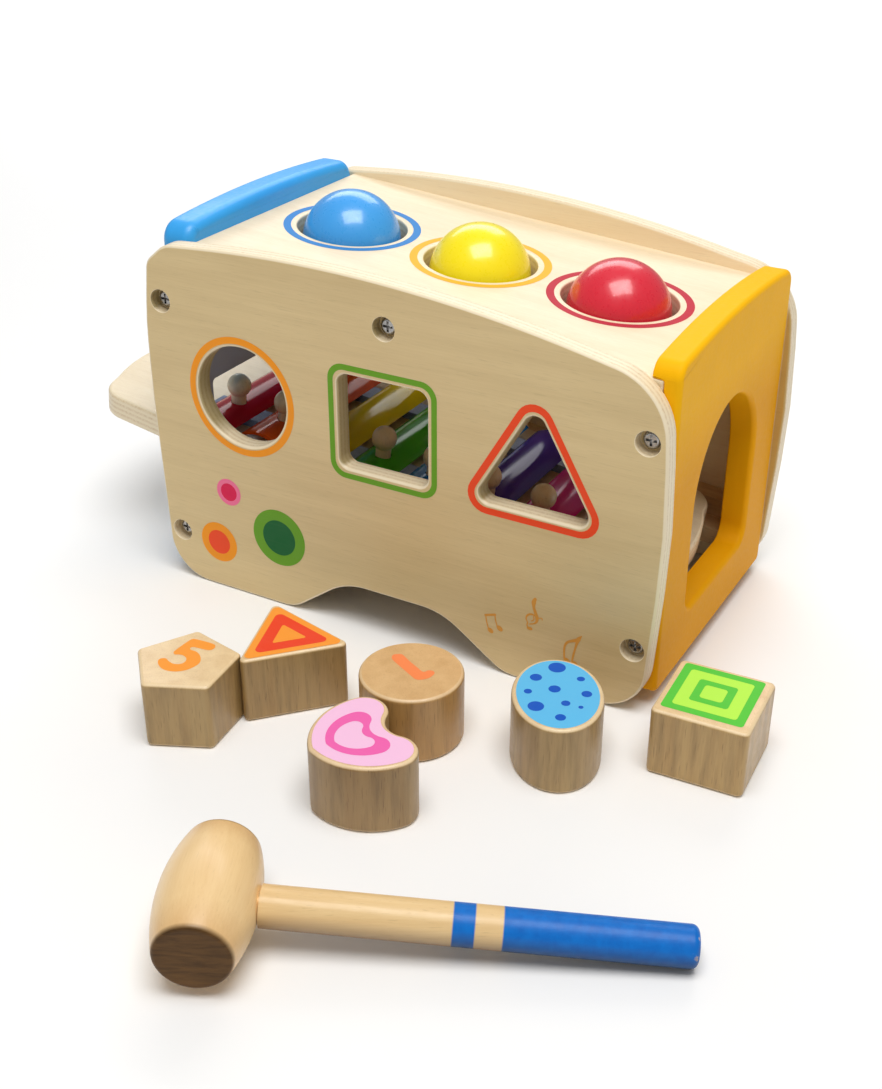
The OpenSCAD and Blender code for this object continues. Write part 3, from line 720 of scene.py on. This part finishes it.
def turned_head(material):
    """The mallet's barrel-shaped head, its rims rounded, turned about its own axis."""
    arc_r = (HEAD_HALF ** 2 + (HEAD_R - HEAD_END_R) ** 2) / 2 / (HEAD_R - HEAD_END_R)
    rim_t = HEAD_HALF - HEAD_ROUND
    rim_r = HEAD_R - arc_r + math.sqrt((arc_r - HEAD_ROUND) ** 2 - rim_t ** 2)
    meet = math.acos(rim_t / (arc_r - HEAD_ROUND))
    profile = [
        (arc_r * math.sin(t), HEAD_R - arc_r + arc_r * math.cos(t))
        for t in ((math.pi / 2 - meet) * i / BARREL_STEPS for i in range(BARREL_STEPS + 1))
    ]
    profile += [
        (rim_t + HEAD_ROUND * math.cos(t), rim_r + HEAD_ROUND * math.sin(t))
        for t in (meet * (1 - i / ROUND_STEPS) for i in range(1, ROUND_STEPS + 1))
    ]
    profile = [(-t, r) for t, r in profile[:0:-1]] + profile
    side = HEAD_AXIS.cross(Vector((0, 0, 1)))
    bm = bmesh.new()
    rings = []
    for t, r in profile:
        ring = []
        for k in range(HEAD_STEPS):
            turn = 2 * math.pi * k / HEAD_STEPS
            out = side * math.cos(turn) + Vector((0, 0, 1)) * math.sin(turn)
            ring.append(bm.verts.new(MALLET + HEAD_AXIS * t * MM + out * r * MM))
        rings.append(ring)
    for low, high in zip(rings, rings[1:]):
        for k in range(HEAD_STEPS):
            bm.faces.new((low[k], low[k - 1], high[k - 1], high[k]))
    bm.faces.new(rings[0])
    bm.faces.new(rings[-1][::-1])
    bmesh.ops.recalc_face_normals(bm, faces=bm.faces)
    for f in bm.faces:
        f.smooth = True
    mesh = bpy.data.meshes.new("turned_mallet_head")
    bm.to_mesh(mesh)
    bm.free()
    mesh.materials.append(material)
    o = bpy.data.objects.new("turned_mallet_head", mesh)
    scene.collection.objects.link(o)
    o.modifiers.new("normals", "WEIGHTED_NORMAL").keep_sharp = False
    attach(o, "mallet")
    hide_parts("mallet_head")


handle_wood = wood(
    "handle_wood", srgb(238, 206, 152), srgb(217, 178, 121), handle_rotation, coat=0.1, rough=0.45,
    pores=0.2, painted=banded,
)
mallet_wood = wood(
    "mallet_wood", srgb(241, 209, 156), srgb(222, 182, 125), head_rotation, coat=0.35, rough=0.36,
    figure=0.3, pores=0.12, painted=end_grain_and_shade,
)
turned_head(mallet_wood)
eased("mallet_handle", "mallet", handle_wood, 0.0)

# ---- prints


def flat(name, loops, place, material, body, lift=DECAL_LIFT):
    """A thin print: loops of [x, y] in millimetres, the inner ones cut out.

    The matrix place lays it on its piece.
    """
    curve = bpy.data.curves.new(name + "_outline", "CURVE")
    curve.dimensions = "2D"
    curve.fill_mode = "BOTH"
    for loop in loops:
        line = curve.splines.new("POLY")
        line.points.add(len(loop) - 1)
        for point, (x, y) in zip(line.points, loop):
            point.co = (x * MM, y * MM, 0, 1)
        line.use_cyclic_u = True
    helper = bpy.data.objects.new(name + "_helper", curve)
    scene.collection.objects.link(helper)
    graph = bpy.context.evaluated_depsgraph_get()
    mesh = bpy.data.meshes.new_from_object(helper.evaluated_get(graph))
    bpy.data.objects.remove(helper)
    mesh.transform(place @ Matrix.Translation((0, 0, lift * MM)))
    mesh.materials.clear()
    mesh.materials.append(material)
    obj = bpy.data.objects.new(name, mesh)
    scene.collection.objects.link(obj)
    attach(obj, body)


def frame_at(origin, u, v):
    """Matrix of a plane with the given origin in metres and in-plane directions."""
    u, v = Vector(u).normalized(), Vector(v).normalized()
    w = u.cross(v)
    m = Matrix.Identity(4)
    for i in range(3):
        m[i][0], m[i][1], m[i][2], m[i][3] = u[i], v[i], w[i], origin[i]
    return m


def ring_points(r, n=128, x=0.0, y=0.0):
    """Points of a circle."""
    turns = [2 * math.pi * i / n for i in range(n)]
    return [(x + r * math.cos(t), y + r * math.sin(t)) for t in turns]


def rings(radii, c=(0.0, 0.0)):
    """Circles around one middle."""
    return [ring_points(r, x=c[0], y=c[1]) for r in radii]


def rounded(corners, radius):
    """Outline of a convex polygon with every corner rounded to one radius."""
    points, count = [], len(corners)
    for i, b in enumerate(corners):
        a, c = corners[i - 1], corners[(i + 1) % count]
        b = Vector(b)
        u, v = (Vector(a) - b).normalized(), (Vector(c) - b).normalized()
        half = u.angle(v) / 2
        middle = b + (u + v).normalized() * radius / math.sin(half)
        p, q = b + u * radius / math.tan(half), b + v * radius / math.tan(half)
        start = math.atan2(p.y - middle.y, p.x - middle.x)
        turn = math.atan2(q.y - middle.y, q.x - middle.x) - start
        turn = (turn + math.pi) % (2 * math.pi) - math.pi
        for k in range(ROUND_STEPS + 1):
            t = start + turn * k / ROUND_STEPS
            points.append((middle.x + radius * math.cos(t), middle.y + radius * math.sin(t)))
    return points


def regular(n, r, turn_deg, x=0.0, y=0.0):
    """Corners of a regular polygon in a circle of radius r."""
    turns = [math.radians(turn_deg) + 2 * math.pi * i / n for i in range(n)]
    return [(x + r * math.cos(t), y + r * math.sin(t)) for t in turns]


def oval(c, a, b, turn_deg=0.0, n=32):
    """Outline of an ellipse, its half length a turned from x."""
    turn = Matrix.Rotation(math.radians(turn_deg), 2)
    points = [turn @ Vector((a * x, b * y)) for x, y in ring_points(1.0, n)]
    return [(c[0] + p.x, c[1] + p.y) for p in points]


def scaled(loop, k, c):
    """A loop made k times as large around c."""
    return [(c[0] + k * (x - c[0]), c[1] + k * (y - c[1])) for x, y in loop]


# Points for each stretch of a smooth line, and in the round end of a stroke
SMOOTH_STEPS, CAP_STEPS = 10, 6


def smooth_line(points):
    """Points of a smooth line through the given ones."""
    p = [Vector(q) for q in points]
    p = [2 * p[0] - p[1]] + p + [2 * p[-1] - p[-2]]
    line = []
    for i in range(1, len(p) - 2):
        for k in range(SMOOTH_STEPS):
            t = k / SMOOTH_STEPS
            line.append(
                0.5
                * (
                    2 * p[i]
                    + (p[i + 1] - p[i - 1]) * t
                    + (2 * p[i - 1] - 5 * p[i] + 4 * p[i + 1] - p[i + 2]) * t * t
                    + (3 * p[i] - p[i - 1] - 3 * p[i + 1] + p[i + 2]) * t ** 3
                )
            )
    return line + [p[-2]]


def smooth_loop(points):
    """A smooth closed line through the given points: two more at each end, then cut off."""
    n = len(points)
    line = smooth_line([points[(i - 2) % n] for i in range(n + 4)])
    start = 2 * SMOOTH_STEPS
    return [tuple(q) for q in line[start:start + SMOOTH_STEPS * n]]


def stroke(points, width):
    """Outline of a smooth line with round ends. width may be a list of widths spread along it."""
    line = smooth_line(points)
    widths = width if isinstance(width, list) else [width] * len(line)
    if len(widths) != len(line):
        n = len(widths) - 1
        spots = [i * n / (len(line) - 1) for i in range(len(line))]
        pairs = [(widths[min(n, int(t))], widths[min(n, int(t) + 1)]) for t in spots]
        widths = [a + (b - a) * (t - int(t)) for t, (a, b) in zip(spots, pairs)]
    left, right = [], []
    for i, q in enumerate(line):
        d = (line[min(i + 1, len(line) - 1)] - line[max(i - 1, 0)]).normalized()
        side = Vector((-d.y, d.x)) * widths[i] / 2
        left.append(q + side)
        right.append(q - side)
    cap_end, cap_start = [], []
    for q, d, w, store in (
        (line[-1], line[-1] - line[-2], widths[-1], cap_end),
        (line[0], line[0] - line[1], widths[0], cap_start),
    ):
        base = math.atan2(d.y, d.x)
        for k in range(1, CAP_STEPS):
            t = base + math.pi / 2 - math.pi * k / CAP_STEPS
            store.append(q + Vector((math.cos(t), math.sin(t))) * w / 2)
    return [tuple(q) for q in left + cap_end + right[::-1] + cap_start]


front = frame_at((-FOOT_X * MM, -HALF_PANEL * MM, 0), (1, 0, 0), (0, 0, 1))
# The windows' middles, in the part's x and z
ROUND, SQUARE, TRIANGLE = (50.71, 101.47), (123.21, 101.98), (193.60, 96.77)
inks = {
    "orange": ink("ink_orange", srgb(252, 156, 24)),
    "green": ink("ink_green", srgb(106, 164, 34)),
    "vermilion": ink("ink_vermilion", srgb(248, 76, 30)),
    "magenta": ink("ink_magenta", srgb(228, 20, 80)),
    "pink": ink("ink_pink", srgb(250, 120, 160)),
    "dark_green": ink("ink_dark_green", srgb(4, 98, 44)),
    "note": ink("ink_note", srgb(226, 158, 66)),
    "roof_blue": ink("ink_roof_blue", srgb(50, 130, 200)),
    "roof_yellow": ink("ink_roof_yellow", srgb(232, 178, 40)),
    "roof_red": ink("ink_roof_red", srgb(186, 34, 56)),
}


def on_panel(name, ink_name, *loops, lift=DECAL_LIFT):
    """A print on the front panel, in the part's x and z."""
    flat(name, loops, front, inks[ink_name], "bench", lift)


def square(half, c):
    """Corners of a square around c."""
    return [
        (c[0] + half * x, c[1] + half * y) for x, y in ((-1, -1), (1, -1), (1, 1), (-1, 1))
    ]


on_panel("round_window_ring", "orange", *rings((28.0, 24.9), ROUND))
on_panel(
    "square_window_ring", "green",
    rounded(square(26.4, SQUARE), 7.6), rounded(square(23.8, SQUARE), 5.4),
)
on_panel(
    "triangle_window_ring", "vermilion",
    rounded(regular(3, 41.3, 90, *TRIANGLE), 8.6), rounded(regular(3, 35.3, 90, *TRIANGLE), 5.8),
)
for name, at, outer, inner, rim, core in (
    ("small_dot", (39.58, 52.1), 6.7, 4.45, "pink", "magenta"),
    ("middle_dot", (31.58, 23.8), 10.2, 6.2, "orange", "vermilion"),
    ("large_dot", (66.58, 35.5), 14.2, 8.9, "green", "dark_green"),
):
    on_panel(name + "_rim", rim, *rings((outer, inner), at))
    on_panel(name + "_middle", core, *rings((inner,), at))

# Two beamed quavers, a treble clef and a pair with a curved beam: strokes, then heads
NOTE_STROKES = (
    ([(173.5, 27.3), (174.0, 24.2), (175.0, 20.8)], 0.6),
    ([(177.9, 28.8), (178.4, 25.8), (179.4, 22.7)], 0.6),
    ([(173.4, 27.2), (175.7, 28.0), (178.0, 28.8)], 1.1),
    (
        [
            (196.6, 42.2), (196.0, 40.4), (196.1, 38.0), (197.0, 35.4), (197.7, 33.2),
            (197.5, 31.2), (196.3, 30.0), (194.3, 29.2),
        ],
        [1.4, 2.1, 1.3, 1.5, 1.7, 1.1, 0.6, 0.5],
    ),
    (
        [
            (197.0, 33.9), (195.8, 34.3), (194.4, 34.1), (193.1, 33.0), (192.7, 31.4),
            (193.4, 29.8), (193.2, 28.4), (194.0, 27.2),
        ],
        [0.6, 0.8, 1.0, 0.9, 0.6, 0.6, 0.6, 0.7],
    ),
    ([(196.1, 33.5), (196.3, 32.0), (195.2, 31.0)], 0.5),
    ([(198.4, 33.4), (199.9, 33.8), (200.2, 33.0)], 0.45),
    (
        [(218.4, 30.9), (217.1, 28.9), (216.4, 26.8), (215.8, 24.0), (215.1, 20.4), (214.6, 17.2)],
        [0.3, 1.9, 1.3, 0.9, 0.9, 0.8],
    ),
    (
        [(216.7, 28.3), (214.6, 27.3), (212.3, 26.0), (211.1, 24.0), (210.8, 21.4), (211.0, 17.6)],
        [1.7, 1.3, 1.1, 1.0, 0.9, 0.8],
    ),
)
NOTE_HEADS = (
    ((176.0, 20.2), 1.5, 1.15, -35), ((180.4, 22.6), 1.6, 1.2, -35), ((194.5, 27.1), 1.35, 0.8, 0),
    ((212.2, 16.8), 1.5, 1.15, -25), ((215.8, 16.3), 1.5, 1.15, -25),
)
# Strokes that cross lie a little above each other
NOTE_STEP = 0.004
note_loops = [stroke(*line) for line in NOTE_STROKES] + [oval(*head) for head in NOTE_HEADS]
for i, loop in enumerate(note_loops):
    on_panel(f"note_{i + 1}", "note", loop, lift=DECAL_LIFT + NOTE_STEP * i)

ROOF_RING = (31.26, 27.8)
for colour in ball_paints:
    middle = centre("ball_" + colour) + ROOF_NORMAL * BALL_SUNK * MM
    place = frame_at(middle, (math.cos(ROOF_TILT), 0, -math.sin(ROOF_TILT)), (0, 1, 0))
    flat("roof_ring_" + colour, rings(ROOF_RING), place, inks["roof_" + colour], "bench")


# The blocks' height
BLOCK_H = 30


def top_of(at, turn_deg=0.0):
    """Matrix of a block's upper face, from the block's middle in the part's x and y."""
    turn = math.radians(turn_deg)
    return frame_at(
        Vector((at[0] - FOOT_X, at[1] - HALF_PANEL, BLOCK_H)) * MM,
        (math.cos(turn), math.sin(turn), 0), (-math.sin(turn), math.cos(turn), 0),
    )


ARC_STEPS = 14


def arc_points(c, r, start, end):
    """Points of an arc, the angles in radians."""
    turns = [start + (end - start) * i / ARC_STEPS for i in range(ARC_STEPS + 1)]
    return [(c[0] + r * math.cos(t), c[1] + r * math.sin(t)) for t in turns]


# The heart block's arcs, as in the part, and how far its print stays inside them
LOBE_R, LOBE_X, LOBE_Y, FLANK_R, HOLLOW_R = 9.8, 13.7, 5.0, 28.1, 9.76
HEART_MARGIN, HEART_RING_AT = 1.8, (0.0, -6.5)


def heart_loop(grow):
    """The heart block's outline, grown all round."""
    lobe, flank, hollow = LOBE_R + grow, FLANK_R + grow, HOLLOW_R - grow
    flank_x = LOBE_X + LOBE_R - FLANK_R
    hollow_y = LOBE_Y + math.sqrt((LOBE_R + HOLLOW_R) ** 2 - LOBE_X ** 2)
    meet = math.atan2(hollow_y - LOBE_Y, LOBE_X)
    half = arc_points((flank_x, LOBE_Y), flank, -math.acos(-flank_x / flank), 0)
    half += arc_points((LOBE_X, LOBE_Y), lobe, 0, math.pi - meet)[1:]
    half += arc_points((0, hollow_y), hollow, -meet, -math.pi / 2)[1:]
    return half + [(-x, y) for x, y in half[-2:0:-1]]


block_inks = {
    "orange": ink("ink_block_orange", srgb(250, 158, 58)),
    "salmon": ink("ink_block_salmon", srgb(248, 140, 84)),
    "vermilion": ink("ink_block_vermilion", srgb(238, 72, 42)),
    "pale_pink": ink("ink_block_pale_pink", srgb(248, 198, 232)),
    "hot_pink": ink("ink_block_hot_pink", srgb(242, 104, 180)),
    "sky": ink("ink_block_sky", srgb(96, 190, 240)),
    "navy": ink("ink_block_navy", srgb(16, 88, 196)),
    "green": ink("ink_block_green", srgb(90, 202, 66)),
    "lime": ink("ink_block_lime", srgb(186, 244, 84)),
}
# The blocks' middles, in the part's x and y
PENTAGON_AT, CIRCLE_AT, TRIANGLE_AT = (86.2, -94.0), (169.4, -55.3), (111.4, -58.4)
HEART_AT, OVAL_AT, SQUARE_AT = (175.3, -99.4), (227.0, -40.7), (280.5, -12.0)
# Each print on a block lies this far above the one below it
LAYER = 0.03


def on_block(shape, name, ink_name, place, *loops, lift=DECAL_LIFT):
    """A print on a block's upper face."""
    flat(name, loops, place, block_inks[ink_name], shape + "_block", lift)


digit = top_of(PENTAGON_AT)
five = [
    (-7.2, 13.6), (-5.2, 14.5), (2.3, 15.1), (4.5, 14.0), (4.9, 12.0), (3.4, 10.3), (-3.0, 9.2),
    (-3.2, 7.3), (0.4, 7.0), (3.6, 5.2), (6.0, 2.1), (6.3, -1.2), (4.8, -5.4), (1.6, -8.5),
    (-2.8, -9.6), (-6.2, -8.6), (-8.9, -6.3), (-9.4, -4.2), (-7.6, -2.9), (-5.2, -3.9),
    (-2.4, -4.4), (0.0, -3.2), (0.7, -1.0), (-0.4, 1.2), (-2.6, 2.2), (-4.6, 2.0), (-6.2, 1.2),
    (-7.7, 2.3), (-7.9, 5.3), (-7.7, 10.3),
]
on_block("pentagon", "numeral_5", "orange", digit, smooth_loop(five))
one = [
    (-10.0, 7.9), (-12.1, 6.2), (-11.7, 4.0), (-9.4, 2.2), (-4.0, -0.5), (1.9, -3.4), (4.1, -4.4),
    (6.2, -4.0), (8.6, -1.2), (9.1, 2.4), (7.8, 3.9), (5.9, 3.4), (4.4, 1.5), (0.5, 3.2),
    (-3.8, 5.2), (-8.1, 7.6),
]
on_block("circle", "numeral_1", "salmon", top_of(CIRCLE_AT), smooth_loop(one))
face = top_of(TRIANGLE_AT, 17 - 90)
for i, (name, r, round_r, ink_name) in enumerate((
    ("triangle_face", 24.9, 2.2, "orange"),
    ("triangle_band", 19.0, 2.2, "vermilion"),
    ("triangle_middle", 8.5, 0.7, "orange"),
)):
    band = rounded(regular(3, r, 90), round_r)
    on_block("triangle", name, ink_name, face, band, lift=DECAL_LIFT + LAYER * i)
face = top_of(HEART_AT, -34.8)
heart = heart_loop(-HEART_MARGIN)
on_block("heart", "heart_face", "pale_pink", face, heart)
ring = [scaled(heart, share, HEART_RING_AT) for share in (0.64, 0.40)]
on_block("heart", "heart_ring", "hot_pink", face, *ring, lift=DECAL_LIFT + LAYER)
face = top_of(OVAL_AT)
on_block("oval", "oval_face", "sky", face, oval((0, 0), 22.7, 16.3, 29.6 + 90, 96))
for i, (x, y, r) in enumerate((
    (-8.0, 15.9, 3.5), (-12.3, 5.6, 2.4), (3.7, 13.3, 1.6), (-2.4, 2.0, 2.4), (-10.8, -4.5, 1.6),
    (10.0, 5.1, 2.1), (-3.7, -11.9, 3.2), (5.5, -4.5, 1.8), (11.7, -4.0, 1.0), (7.7, -13.8, 2.1),
)):
    dot = ring_points(r, 48, x, y)
    on_block("oval", f"oval_dot_{i + 1}", "navy", face, dot, lift=DECAL_LIFT + LAYER)
face = top_of(SQUARE_AT, 3)
for i, half in enumerate((16.4, 12.9, 7.8, 4.6)):
    band = rounded(square(half, (-0.5, 0.8)), 1.4)
    ink_name = "lime" if i % 2 else "green"
    on_block("square", f"square_band_{i + 1}", ink_name, face, band, lift=DECAL_LIFT + LAYER * i)

# ---- floor, light and camera


def light(name, location, target, size, power, colour=(1, 1, 1)):
    """A soft area light turned towards the target."""
    data = bpy.data.lights.new(name, "AREA")
    data.shape = "RECTANGLE"
    data.size, data.size_y = size
    data.energy = power
    data.color = colour
    o = bpy.data.objects.new(name, data)
    scene.collection.objects.link(o)
    o.location = location
    o.rotation_euler = (Vector(target) - Vector(location)).to_track_quat("-Z", "Y").to_euler()


floor_shader = Shader("floor")
grain = floor_shader.noise(floor_shader.stretch((6, 6, 6)), 1.0, 2.0)
floor_tone = floor_shader.mix(grain, (0.95, 0.95, 0.95, 1), (0.93, 0.93, 0.93, 1))
floor_shader.set(Base_Color=floor_tone, Roughness=0.9)
# The floor lies a hair under the feet, so that their faces don't meet it
bpy.ops.mesh.primitive_plane_add(size=12, location=(0.1, 0.3, -0.2 * MM))
floor = bpy.context.object
floor.name = "floor"
floor.data.materials.append(floor_shader.material)

world = bpy.data.worlds.new("studio")
scene.world = world
world.use_nodes = True
background = world.node_tree.nodes["Background"]
background.inputs["Color"].default_value = (1.0, 1.0, 1.0, 1)
background.inputs["Strength"].default_value = 0.28
aim = (0.09, 0.0, 0.06)
light("key", (0.35, -0.3, 1.45), aim, (1.0, 0.8), 18.0, (1.0, 0.99, 0.97))
light("backdrop", (-0.9, 1.7, 1.3), (-0.9, 1.7, 0), (2.2, 1.4), 30.0)

# The camera that was fitted to the photograph
CAMERA = Vector((371.98, -471.97, 358.2)) * MM
FORWARD = Vector((-0.4303, 0.7578, -0.4904))
LENS, SENSOR = 48.04, 36
camera = bpy.data.objects.new("camera", bpy.data.cameras.new("camera"))
scene.collection.objects.link(camera)
camera.location = CAMERA
camera.rotation_euler = FORWARD.to_track_quat("-Z", "Y").to_euler()
camera.data.lens = LENS
camera.data.sensor_width = SENSOR
camera.data.clip_start = 0.01
scene.camera = camera
scene.view_settings.view_transform = "Standard"
